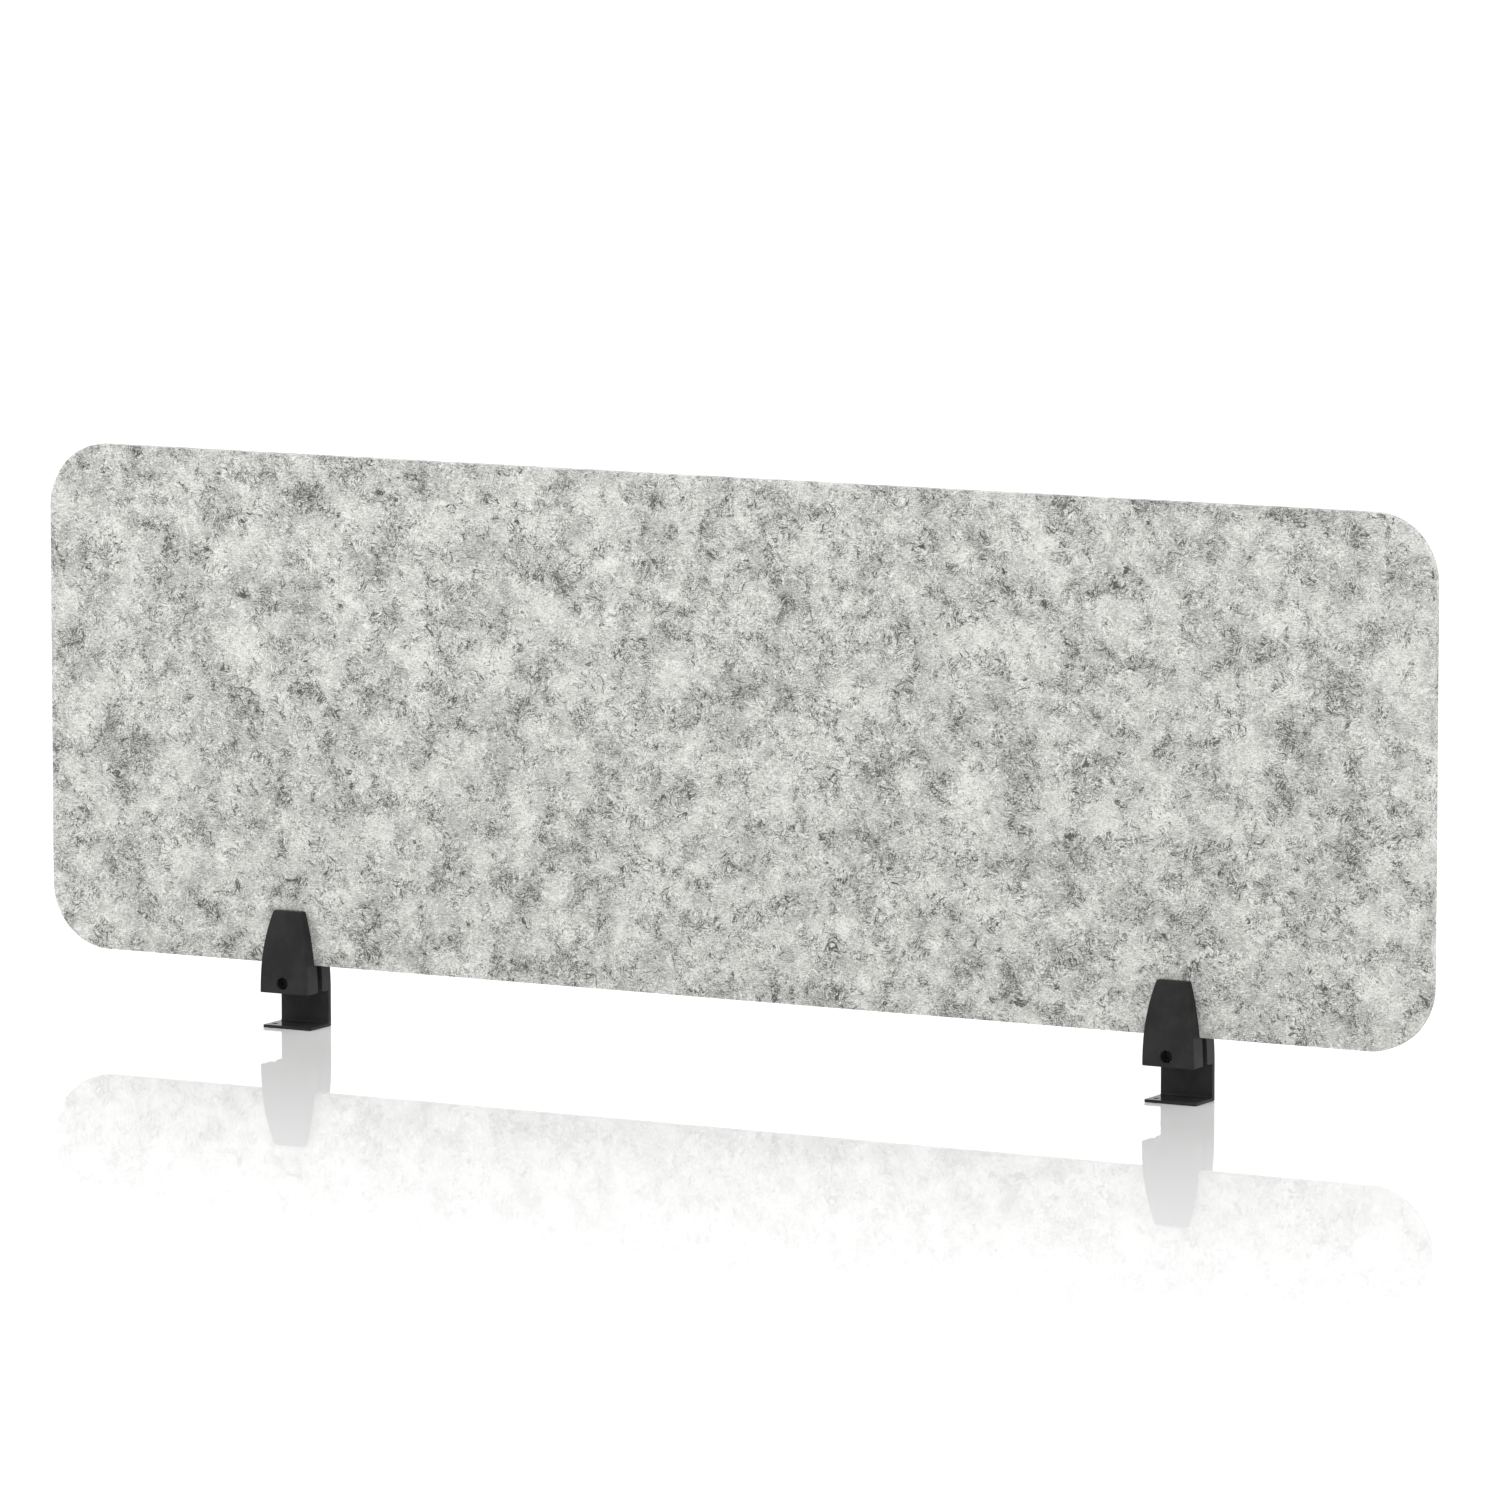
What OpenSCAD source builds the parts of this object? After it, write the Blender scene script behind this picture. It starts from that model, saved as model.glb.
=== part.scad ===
// Desk privacy panel: a felt board held upright by two screw clamps that hook onto a desk edge.
// Millimetres. X runs along the board, -Y faces the person sitting at the desk, +Z is up.
// The origin is under the middle of the board, level with the feet, halfway through the clamps' depth.

/* [Board] */
// Length of the board
panel_w = 1524; // [900:1:1900]
// Height of the board
panel_h = 508; // [300:1:760]
// Thickness of the board
panel_t = 12.7; // [9:0.1:19]
// Radius of the board's four corners
panel_corner_r = 65; // [10:1:120]

/* [Clamp places] */
// Distance of the left clamp from the middle of the board
left_clamp_x = 482; // [200:1:550]
// Distance of the right clamp from the middle of the board
right_clamp_x = 496; // [200:1:550]

/* [Clamp head] */
// Width of a clamp at the desk
clamp_w = 55; // [46:0.5:75]
// Width of a clamp at its top
clamp_top_w = 33; // [30:0.5:44]
// Height of the two jaws
head_h = 82; // [74:1:110]
// Height of the board's lower edge above the underside of the jaws
seat_h = 28; // [24:0.5:34]
// Thickness of the front jaw where it grips the board
front_jaw_t = 15.5; // [14:0.1:22]
// Thickness of the back jaw
back_jaw_t = 17; // [15:0.1:24]
// Depth that each jaw's outer face leans in by at the top
jaw_lean = 8; // [4:0.1:8.5]
// Height above the underside at which that lean starts
lean_start = 24; // [14:1:34]
// How far the ledge under the board stands out from the front jaw
ledge_d = 4.75; // [3:0.05:6.5]
// Gap between the board and each jaw
grip_clear = 0.2; // [0.1:0.05:0.5]

/* [Clamp bracket] */
// Height of the space for the desk top, from the flange to the underside of the jaws
desk_gap = 33; // [22:0.5:50]
// Thickness of the upright plate behind the desk edge
plate_t = 5.5; // [4:0.1:8]
// Thickness of the flange under the desk
flange_t = 3; // [2.5:0.1:6]
// Depth of the flange, with the plate
flange_d = 40; // [32:0.5:44]
// Diameter of the two holes in the flange
flange_hole_d = 5.5; // [4:0.1:7]
// Distance between the two holes in the flange
flange_hole_gap = 39; // [30:0.5:40]
// Distance of those holes from the flange's front edge
flange_hole_inset = 10; // [7:0.5:14]
// Radius of the fillet between plate and flange
flange_fillet_r = 2; // [1:0.1:4]

/* [Clamp screw] */
// Height of the screw above the underside of the jaws
screw_h = 10; // [10:0.1:13]
// Sideways place of the screw from the middle of the clamp
screw_x = -2; // [-3:0.1:3]
// Diameter of the screw
screw_d = 6; // [5:0.5:6]
// Length of the screw under its head
screw_l = 30; // [28:1:32]
// Diameter of the screw's head
screw_head_d = 10; // [9:0.1:11]
// Height of the screw's head
screw_head_h = 6; // [5:0.1:6.5]
// Diameter of the recess for the head
recess_d = 12.4; // [12.4:0.1:13.5]
// Depth of that recess
recess_h = 10.5; // [9:0.1:11]
// Diameter of the washer
washer_d = 12; // [11.2:0.1:12]
// Thickness of the washer
washer_t = 1.6; // [1:0.1:2]
// Outer diameter of the threaded insert
insert_d = 9; // [8:0.1:10]
// Length of the threaded insert
insert_l = 12; // [10:0.5:12.5]

/* [Guide pins] */
// Diameter of the guide pins
pin_d = 5; // [4:0.1:6]
// Distance between the guide pins
pin_gap = 34; // [32:0.5:36]
// Depth that a pin is pressed into the back jaw
pin_seat = 12; // [9:0.5:13]
// Depth that a pin reaches into the front jaw
pin_reach = 10; // [8:0.5:11]

/* [Pads] */
// Width of the grip pads on the jaws
grip_pad_w = 24; // [16:0.5:25]
// Height of the grip pads
grip_pad_h = 36; // [24:0.5:40]
// Thickness of the grip pads
grip_pad_t = 1.2; // [0.8:0.1:2]
// Thickness of the pads that rest on the desk
desk_pad_t = 1.5; // [1.2:0.1:2.5]
// How far the desk pads stand out of the underside of the jaws
desk_pad_proud = 0.5; // [0.3:0.1:0.8]

/* [Hidden] */
$fn = 64;
CLAMPS = [["left", -left_clamp_x], ["right", right_clamp_x]];

// Clearances between pieces, and small sizes that follow good practice
run_clear = 0.05;       // radial gap of a shaft that turns or slides in its hole
shank_clear = 0.3;      // radial gap of the screw where it passes through the front jaw and the washer
face_clear = 0.05;      // gap between faces of pieces that move on each other
hole_bottom = 0.5;      // room beyond the end of an insert or pin in its blind hole
stop_clear = 0.2;       // gap that is left at the front jaw's stop when the board is gripped
stop_wall = 3.5;        // wall of the round stop around the screw
pad_edge = 3;           // border left around a desk pad
plate_pad_gap = 2.2;    // space between the bracket's desk pad and its plate
pad_corner_r = 2.5;     // corner radius of every pad
grip_pad_drop = 12;     // distance of a grip pad's upper edge below the top of the jaw
slot_edge_c = 2;        // chamfer on the back jaw's lower inner edge
socket_d = 5.77;        // across the corners of the hex socket for a 5 mm key
socket_h = 3;           // depth of that socket
screw_chamfer = 0.8;    // chamfer on the end of the screw
head_chamfer = 0.6;     // chamfer on the rim of the screw's head
pin_chamfer = 0.5;      // chamfer on the ends of the guide pins
joint_lap = 0.01;       // lap that makes joined shapes one solid

// Heights
head_z = flange_t + desk_gap;
top_z = head_z + head_h;
seat_z = head_z + seat_h;
screw_z = head_z + screw_h;

// Depths, from the front face to the back face
slot_w = panel_t + 2 * grip_clear;
head_d = front_jaw_t + slot_w + back_jaw_t;
front_y = -head_d / 2;
front_grip_y = front_y + front_jaw_t;
panel_y = front_grip_y + grip_clear + panel_t / 2;
back_grip_y = front_grip_y + slot_w;
back_y = head_d / 2;
ledge_y = front_grip_y + ledge_d;
flange_front_y = back_y - flange_d;
plate_y = back_y - plate_t;
recess_y = front_y + recess_h;
under_head_y = recess_y - washer_t - face_clear;

// Radii of the arcs in the jaws' two outlines: a chord's length and its rise give the arc
function arc_radius(length, rise) = (length * length + rise * rise) / (2 * rise);
side_drop = (clamp_w - clamp_top_w) / 2;
side_r = arc_radius(head_h, side_drop);
lean_r = arc_radius(head_h - lean_start, jaw_lean);

// Pads
grip_pad_z = top_z - grip_pad_drop - grip_pad_h / 2;
grip_pad_sunk = grip_pad_t - grip_clear + face_clear;
desk_pad_sunk = desk_pad_t - desk_pad_proud;
desk_pad_w = clamp_w - 2 * pad_edge;

// A rectangle with round corners, centred; the corners are smaller where the sides are short
module round_rect(w, h, r) {
    c = min(r, 0.4 * w, 0.4 * h);
    square([w - 2 * c, h], center = true);
    square([w, h - 2 * c], center = true);
    for (sx = [-1, 1], sy = [-1, 1])
        translate([sx * (w / 2 - c), sy * (h / 2 - c)])
            circle(r = c);
}

// Extrudes an outline drawn in X and Z from depth y0 back to depth y1
module front_slice(y0, y1) {
    translate([0, y1, 0])
        rotate([90, 0, 0])
            linear_extrude(y1 - y0)
                children();
}

// Extrudes an outline drawn in Y and Z across the width of a clamp
module side_slice(w) {
    translate([-w / 2, 0, 0])
        rotate([90, 0, 90])
            linear_extrude(w)
                children();
}

// A cylinder along +Y that starts at depth y0
module y_cylinder(d, y0, length) {
    translate([0, y0, 0])
        rotate([-90, 0, 0])
            cylinder(d = d, h = length);
}

// A round bar along +Y, turned from one profile, with a chamfer at each end
module chamfered_bar(d, y0, length, c_start, c_end) {
    r = d / 2;
    translate([0, y0, 0])
        rotate([-90, 0, 0])
            rotate_extrude()
                polygon([[0, 0], [r - c_start, 0], [r, c_start],
                         [r, length - c_end], [r - c_end, length], [0, length]]);
}

// Front view of the jaws: upright at the desk, curving in towards the top
module head_outline() {
    intersection() {
        translate([-clamp_w / 2, head_z])
            square([clamp_w, head_h]);
        translate([clamp_w / 2 - side_r, head_z])
            circle(r = side_r, $fn = 360);
        translate([side_r - clamp_w / 2, head_z])
            circle(r = side_r, $fn = 360);
    }
}

// Side view of a jaw whose outer face is at depth 0 and whose inside lies at positive depth
module jaw_side(t) {
    intersection() {
        translate([0, head_z])
            square([t, head_h]);
        union() {
            translate([0, head_z])
                square([t, lean_start]);
            translate([lean_r, head_z + lean_start])
                circle(r = lean_r, $fn = 360);
        }
    }
}

// Puts a piece on the line of the clamp screw
module at_screw() {
    translate([screw_x, 0, screw_z])
        children();
}

// Puts a piece on each of the two pin lines
module at_pins() {
    for (side = [-1, 1])
        translate([side * pin_gap / 2, 0, screw_z])
            children();
}

// A pad or its pocket on a jaw's inner face
module grip_pad_block(y0, y1) {
    front_slice(y0, y1)
        translate([0, grip_pad_z])
            round_rect(grip_pad_w, grip_pad_h, pad_corner_r);
}

// A pad or its pocket on the underside of a jaw, between depths y0 and y1
module desk_pad_block(y0, y1, z0, z1) {
    translate([0, (y0 + y1) / 2, z0])
        linear_extrude(z1 - z0)
            round_rect(desk_pad_w, y1 - y0, pad_corner_r);
}

module felt_panel() {
    color("gainsboro")
        front_slice(panel_y - panel_t / 2, panel_y + panel_t / 2)
            translate([0, seat_z + panel_h / 2])
                round_rect(panel_w, panel_h, panel_corner_r);
}

// Back jaw, upright plate and flange, cast as one piece
module bracket() {
    color("dimgray")
        difference() {
            union() {
                intersection() {
                    front_slice(back_grip_y, back_y)
                        head_outline();
                    side_slice(clamp_w + 1)
                        translate([back_y, 0])
                            mirror([1, 0])
                                jaw_side(back_jaw_t);
                }
                side_slice(clamp_w)
                    bracket_hook();
            }
            slot_chamfer();
            at_screw()
                y_cylinder(insert_d, back_grip_y - 1, insert_l + hole_bottom + 1);
            at_pins()
                y_cylinder(pin_d, back_grip_y - 1, pin_seat + hole_bottom + 1);
            grip_pad_block(back_grip_y - 1, back_grip_y + grip_pad_sunk);
            desk_pad_block(back_grip_y + pad_edge, plate_y - plate_pad_gap, head_z - 1, head_z + desk_pad_sunk);
            for (side = [-1, 1])
                translate([side * flange_hole_gap / 2, flange_front_y + flange_hole_inset, -1])
                    cylinder(d = flange_hole_d, h = flange_t + 2);
        }
}

// Side view of the plate and flange, with the fillet in their inner corner
module bracket_hook() {
    translate([plate_y, 0])
        square([plate_t, head_z + joint_lap]);
    translate([flange_front_y, 0])
        square([flange_d, flange_t]);
    translate([plate_y - flange_fillet_r, flange_t])
        difference() {
            square([flange_fillet_r + joint_lap, flange_fillet_r]);
            translate([0, flange_fillet_r])
                circle(r = flange_fillet_r);
        }
}

// The wedge cut off the back jaw's lower inner edge
module slot_chamfer() {
    side_slice(clamp_w + 2)
        polygon([[back_grip_y - 1, head_z - 1],
                 [back_grip_y + slot_edge_c + 1, head_z - 1],
                 [back_grip_y - 1, head_z + slot_edge_c + 1]]);
}

// Front jaw: a ledge for the board, and a round stop around the screw that keeps it parallel
module front_jaw() {
    color("dimgray")
        difference() {
            union() {
                intersection() {
                    front_slice(front_y, ledge_y)
                        head_outline();
                    side_slice(clamp_w + 1)
                        translate([front_y, 0])
                            jaw_side(front_jaw_t + ledge_d);
                    side_slice(clamp_w + 2)
                        front_jaw_step();
                }
                at_screw()
                    y_cylinder(screw_d + 2 * (shank_clear + stop_wall), ledge_y - 1,
                               back_grip_y - stop_clear - ledge_y + 1);
            }
            at_screw()
                y_cylinder(recess_d, front_y - 1, recess_h + 1);
            at_screw()
                y_cylinder(screw_d + 2 * shank_clear, front_y, head_d);
            at_pins()
                y_cylinder(pin_d + 2 * run_clear, ledge_y - pin_reach - hole_bottom, pin_reach + head_d);
            grip_pad_block(front_grip_y - grip_pad_sunk, front_grip_y + 1);
            desk_pad_block(front_y + pad_edge, ledge_y - pad_edge, head_z - 1, head_z + desk_pad_sunk);
        }
}

// Side view of what the front jaw keeps: thick under the board, thinner where it grips it
module front_jaw_step() {
    translate([front_y, head_z])
        square([front_jaw_t, head_h]);
    translate([front_y, head_z])
        square([front_jaw_t + ledge_d, seat_h - face_clear]);
}

// Socket-head screw that pulls the front jaw towards the back jaw
module clamp_screw() {
    color("silver")
        at_screw()
            difference() {
                union() {
                    chamfered_bar(screw_head_d, under_head_y - screw_head_h, screw_head_h, head_chamfer, 0);
                    chamfered_bar(screw_d, under_head_y - joint_lap, screw_l + joint_lap, 0, screw_chamfer);
                }
                translate([0, under_head_y - screw_head_h - 1, 0])
                    rotate([-90, 0, 0])
                        cylinder(d = socket_d, h = socket_h + 1, $fn = 6);
            }
}

module washer() {
    color("silver")
        at_screw()
            difference() {
                y_cylinder(washer_d, recess_y - washer_t, washer_t);
                y_cylinder(screw_d + 2 * shank_clear, recess_y - washer_t - 1, washer_t + 2);
            }
}

// Threaded sleeve in the back jaw, flush with its inner face
module threaded_insert() {
    color("goldenrod")
        at_screw()
            difference() {
                y_cylinder(insert_d, back_grip_y, insert_l);
                y_cylinder(screw_d + 2 * run_clear, back_grip_y - 1, insert_l + 2);
            }
}

// Two pins pressed into the back jaw, on which the front jaw slides
module guide_pins() {
    color("lightgray")
        at_pins()
            chamfered_bar(pin_d, ledge_y - pin_reach, back_grip_y + pin_seat - ledge_y + pin_reach,
                          pin_chamfer, pin_chamfer);
}

module front_grip_pad() {
    color("black")
        grip_pad_block(front_grip_y - grip_pad_sunk, front_grip_y - grip_pad_sunk + grip_pad_t);
}

module back_grip_pad() {
    color("black")
        grip_pad_block(back_grip_y + grip_pad_sunk - grip_pad_t, back_grip_y + grip_pad_sunk);
}

module jaw_desk_pad() {
    color("black")
        desk_pad_block(front_y + pad_edge, ledge_y - pad_edge, head_z - desk_pad_proud, head_z + desk_pad_sunk);
}

module bracket_desk_pad() {
    color("black")
        desk_pad_block(back_grip_y + pad_edge, plate_y - plate_pad_gap,
                       head_z - desk_pad_proud, head_z + desk_pad_sunk);
}

felt_panel();
for (clamp = CLAMPS)
    translate([clamp[1], 0, 0]) {
        bracket();
        front_jaw();
        clamp_screw();
        washer();
        threaded_insert();
        guide_pins();
        front_grip_pad();
        back_grip_pad();
        jaw_desk_pad();
        bracket_desk_pad();
    }
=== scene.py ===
"""Looks of a desk privacy panel: a felt board that two screw clamps hold on a desk edge.

Lengths are in metres, in the frame of the CAD model: X runs along the board, -Y faces the person
at the desk and +Z is up. The sizes below are given in millimetres and scaled by MM.
"""

import math
from types import SimpleNamespace

import bmesh
import bpy
from bpy.props import FloatProperty, FloatVectorProperty, IntProperty, PointerProperty
from mathutils import Matrix, Vector, noise


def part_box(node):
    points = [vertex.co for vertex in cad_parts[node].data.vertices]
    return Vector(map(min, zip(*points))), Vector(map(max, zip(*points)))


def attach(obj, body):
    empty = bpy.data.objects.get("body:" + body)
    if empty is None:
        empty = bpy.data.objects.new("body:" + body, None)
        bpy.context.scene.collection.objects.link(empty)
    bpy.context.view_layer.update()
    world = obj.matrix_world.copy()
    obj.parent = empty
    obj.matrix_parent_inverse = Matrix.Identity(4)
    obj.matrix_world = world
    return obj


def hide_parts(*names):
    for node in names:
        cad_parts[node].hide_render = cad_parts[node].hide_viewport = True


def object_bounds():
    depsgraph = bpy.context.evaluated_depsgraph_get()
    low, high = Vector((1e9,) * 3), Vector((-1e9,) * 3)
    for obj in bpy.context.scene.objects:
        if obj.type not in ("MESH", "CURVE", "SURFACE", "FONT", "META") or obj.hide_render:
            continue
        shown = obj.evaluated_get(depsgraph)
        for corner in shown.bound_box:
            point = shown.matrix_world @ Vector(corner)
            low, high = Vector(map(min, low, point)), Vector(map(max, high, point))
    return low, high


bl_info = {
    "name": "Desk Privacy Panel",
    "version": (1, 0, 0),
    "blender": (4, 5, 0),
    "location": "3D View > Sidebar > Desk Panel",
    "description": "Builds a felt desk privacy panel with its two screw clamps",
    "category": "Object",
}

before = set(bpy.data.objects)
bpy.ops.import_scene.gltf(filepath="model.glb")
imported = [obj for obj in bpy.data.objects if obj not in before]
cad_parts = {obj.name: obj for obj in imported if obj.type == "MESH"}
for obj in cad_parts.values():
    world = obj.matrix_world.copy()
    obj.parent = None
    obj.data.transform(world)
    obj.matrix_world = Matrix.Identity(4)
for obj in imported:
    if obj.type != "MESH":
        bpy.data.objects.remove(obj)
CAD_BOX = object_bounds()
MM = 0.001
SIDES = ("left", "right")
BOARD_CORNER = 65 * MM                  # radius of the board's four corners
PAD_CORNER, PAD_SHARE = 2.5 * MM, 0.4   # corner radius of the pads, and its most as a share
BEYOND = MM                             # how far a cutting tool stands past what it cuts
POCKET_OPENING = 4 * MM                 # how far a pocket's tool stands out of its pocket
RINGS_PER_TURN = 8                      # rings of points in one turn of a thread


# Sizes and colours that a user would change

class FeltLook(bpy.types.PropertyGroup):
    """Look of the felt board"""

    arris: FloatProperty(
        name="Arris", description="Radius of the board's softened edges", default=1.3 * MM,
        min=0.2 * MM, unit="LENGTH")
    cell: FloatProperty(
        name="Cell", description="Spacing of the mesh over the faces", default=5 * MM,
        min=2 * MM, unit="LENGTH")
    swell: FloatProperty(
        name="Swell", description="Depth of the slow unevenness of the faces", default=0.16 * MM,
        unit="LENGTH")
    pimple: FloatProperty(
        name="Pimple", description="Depth of the small unevenness of faces and edges",
        default=0.1 * MM, unit="LENGTH")
    light: FloatVectorProperty(
        name="Light fibres", description="Colour of the pale fibres", subtype="COLOR",
        default=(0.80, 0.80, 0.765), min=0, max=1)
    dark: FloatVectorProperty(
        name="Dark fibres", description="Colour of the dark fibres", subtype="COLOR",
        default=(0.10, 0.10, 0.097), min=0, max=1)


class CastingLook(bpy.types.PropertyGroup):
    """Look of the two cast parts of a clamp"""

    corner: FloatProperty(
        name="Corner", description="Radius of the upright edges of the outer faces",
        default=1.2 * MM, unit="LENGTH")
    plate_corner: FloatProperty(
        name="Plate corner", description="Radius of the upright edges of the plate",
        default=0.8 * MM, unit="LENGTH")
    rim: FloatProperty(
        name="Rim", description="Radius of the edges around the top", default=1.2 * MM,
        unit="LENGTH")
    edge: FloatProperty(
        name="Edge", description="Radius of all other edges", default=0.5 * MM, unit="LENGTH")
    level: FloatProperty(
        name="Level", description="Spacing of the mesh up the curved jaws", default=4 * MM,
        min=MM, unit="LENGTH")
    colour: FloatVectorProperty(
        name="Coat", description="Colour of the coat", subtype="COLOR",
        default=(0.0268, 0.0268, 0.0266), min=0, max=1)


class HardwareLook(bpy.types.PropertyGroup):
    """Look of screws, washers, pins, inserts and pads"""

    pitch: FloatProperty(
        name="Pitch", description="Pitch of the screw thread", default=1.0 * MM, unit="LENGTH")
    thread_depth: FloatProperty(
        name="Thread depth", description="Depth of the screw thread", default=0.55 * MM,
        unit="LENGTH")
    flutes: IntProperty(
        name="Flutes", description="Number of grip flutes around a screw head", default=40, min=12)
    rib_pitch: FloatProperty(
        name="Rib pitch", description="Spacing of the ribs on the rubber pads", default=3.0 * MM,
        unit="LENGTH")
    rib_depth: FloatProperty(
        name="Rib depth", description="Depth of the grooves between those ribs",
        default=0.3 * MM, unit="LENGTH")


class StudioLook(bpy.types.PropertyGroup):
    """Camera, light and floor"""

    azimuth: FloatProperty(
        name="Azimuth", description="Camera's angle from the front towards the right",
        default=math.radians(28.786), subtype="ANGLE")
    elevation: FloatProperty(
        name="Elevation", description="Camera's angle above the level", subtype="ANGLE",
        default=math.radians(7.136))
    distance: FloatProperty(
        name="Distance", description="Camera's distance from what it aims at", default=9.954,
        unit="LENGTH")
    lens: FloatProperty(
        name="Lens", description="Camera's focal length in millimetres", default=247.35)
    aim: FloatVectorProperty(
        name="Aim", description="Where the camera aims, from the middle of the board",
        default=(33.2 * MM, 0, -9.6 * MM), subtype="TRANSLATION")
    room_light: FloatProperty(
        name="Room light", description="Strength of the white room around the panel", default=1.2)
    floor_gloss: FloatProperty(
        name="Floor gloss", description="Share of light that the floor mirrors beside the panel",
        default=0.37, min=0, max=1)
    gloss_reach: FloatProperty(
        name="Gloss reach", description="Distance over which the floor loses its gloss",
        default=1.75, unit="LENGTH")


# Node trees

class Tree:
    """A material or world with short calls for making its nodes"""

    def __init__(self, owner):
        owner.use_nodes = True
        self.tree = owner.node_tree
        self.tree.nodes.clear()

    def add(self, kind, settings=None, **inputs):
        """Adds a node; inputs are sockets to link or values to set, by name or number."""
        made = self.tree.nodes.new("ShaderNode" + kind)
        for name, value in (settings or {}).items():
            setattr(made, name, value)
        for name, value in inputs.items():
            key = int(name[1:]) if name[1:].isdigit() else name.replace("_", " ")
            socket = made.inputs[key]
            if isinstance(value, bpy.types.NodeSocket):
                self.tree.links.new(value, socket)
            else:
                socket.default_value = value
        return made

    def math(self, operation, *values):
        """Adds a Math node and gives its output."""
        inputs = {f"i{k}": value for k, value in enumerate(values)}
        return self.add("Math", {"operation": operation}, **inputs).outputs[0]

    def noise(self, where, scale, detail=2.0, roughness=0.5, distortion=0.0):
        """Adds a Noise Texture node and gives it."""
        return self.add("TexNoise", Vector=where, Scale=scale, Detail=detail,
                        Roughness=roughness, Distortion=distortion)

    def step(self, value, low, high, bottom=0.0, top=1.0):
        """Maps value from low..high to bottom..top along a soft curve."""
        return self.add("MapRange", {"interpolation_type": "SMOOTHSTEP"}, Value=value,
                        From_Min=low, From_Max=high, To_Min=bottom, To_Max=top).outputs[0]

    def mix(self, share, a, b):
        """Mixes two colours."""
        made = self.add("Mix", {"data_type": "RGBA"}, i0=share, i6=a, i7=b)
        return made.outputs[2]


def new_material(name):
    """A material, its tree and the object's own coordinates"""
    material = bpy.data.materials.new(name)
    tree = Tree(material)
    where = tree.add("TexCoord").outputs["Object"]
    return material, tree, where


def close_material(tree, shader):
    tree.add("OutputMaterial", Surface=shader.outputs[0])


def opaque(colour):
    return (*colour, 1.0)


def felt_finish(look):
    """Marled needle felt: pale fibres crossing every way, with dark flecks, threads and curls"""
    material, tree, where = new_material("marled_felt")
    cloud = tree.noise(where, 20, 2).outputs[0]
    patch = tree.noise(where, 62, 3, 0.6).outputs[0]
    grain = tree.noise(where, 560, 3, 0.65, 0.6).outputs[0]
    drift = tree.noise(where, 46, 1)
    tangle = tree.noise(where, 44, 4, 0.62, 0.5).outputs[0]

    def pulled(reach):
        """The coordinates, shifted about so that straight strands and lines wander"""
        return tree.add("VectorMath", {"operation": "MULTIPLY_ADD"}, i0=drift.outputs[1],
                        i1=(reach, reach, reach), i2=where).outputs[0]

    lower = 0.04
    hatch = grain
    for k, turn in enumerate((0.35, 1.15, 1.95, 2.7)):
        laid = tree.add("Mapping", Vector=pulled(0.008), Location=(0.31 * k, 0.17 * k, 0.53 * k),
                        Rotation=(0, turn, 0), Scale=(1.0, 4.0, 6.5)).outputs[0]
        strands = tree.noise(laid, 215, 2, 0.5, 0.2).outputs[0]
        hatch = tree.math("MAXIMUM", hatch, tree.math("SUBTRACT", strands, lower))

    def threads(offset, scale, half_width, sparse, full):
        """Thin wandering lines: where a warped noise crosses its middle, mostly in the tangles"""
        moved = tree.add("VectorMath", {"operation": "ADD"}, i0=pulled(0.028), i1=offset).outputs[0]
        field = tree.noise(moved, scale, 1.5, 0.5, 0.8).outputs[0]
        away = tree.math("ABSOLUTE", tree.math("SUBTRACT", field, 0.5))
        line = tree.step(away, 0.0, half_width, 1.0, 0.0)
        spread = tree.noise(moved, scale * 0.42, 2, 0.6).outputs[0]
        crowd = tree.math("MULTIPLY_ADD", spread, 0.45, tree.math("MULTIPLY", tangle, 0.55))
        return tree.math("MULTIPLY", line, tree.step(crowd, sparse, full))

    long_threads = threads((0.7, 0.2, 0.4), 70, 0.018, 0.46, 0.56)
    curls = threads((1.9, 1.1, 0.3), 165, 0.040, 0.48, 0.58)
    small_curls = threads((3.1, 2.2, 1.7), 330, 0.075, 0.48, 0.60)
    pale_curls = threads((5.3, 0.9, 2.6), 260, 0.07, 0.38, 0.52)
    flecks = tree.step(tree.noise(where, 380, 3, 0.75).outputs[0], 0.54, 0.72)
    flecks = tree.math("MULTIPLY", flecks, tree.step(patch, 0.44, 0.62))

    cloud_weight, lift = 0.33, 0.365
    tone = tree.math("MULTIPLY_ADD", cloud, cloud_weight, lift)
    for value, weight in ((patch, 0.30), (tangle, -0.20), (hatch, 1.1), (long_threads, -0.27),
                          (curls, -0.20), (small_curls, -0.16), (pale_curls, 0.16),
                          (flecks, -0.20)):
        tone = tree.math("MULTIPLY_ADD", value, weight, tone)
    all_dark, all_light = 1.0, 1.375
    share = tree.add("MapRange", Value=tone, From_Min=all_dark, From_Max=all_light).outputs[0]
    colour = tree.mix(share, opaque(look.dark), opaque(look.light))

    height = tree.math("MULTIPLY_ADD", hatch, 0.6, tree.math("MULTIPLY", grain, 0.6))
    bump = tree.add("Bump", Strength=0.5, Distance=0.5 * MM, Height=height).outputs[0]
    rough = tree.step(hatch, 0.4, 0.7, 0.98, 0.84)
    close_material(tree, tree.add(
        "BsdfPrincipled", Base_Color=colour, Roughness=rough, Normal=bump,
        Specular_IOR_Level=0.12, Sheen_Weight=0.12, Sheen_Roughness=0.5))
    return material


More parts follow.
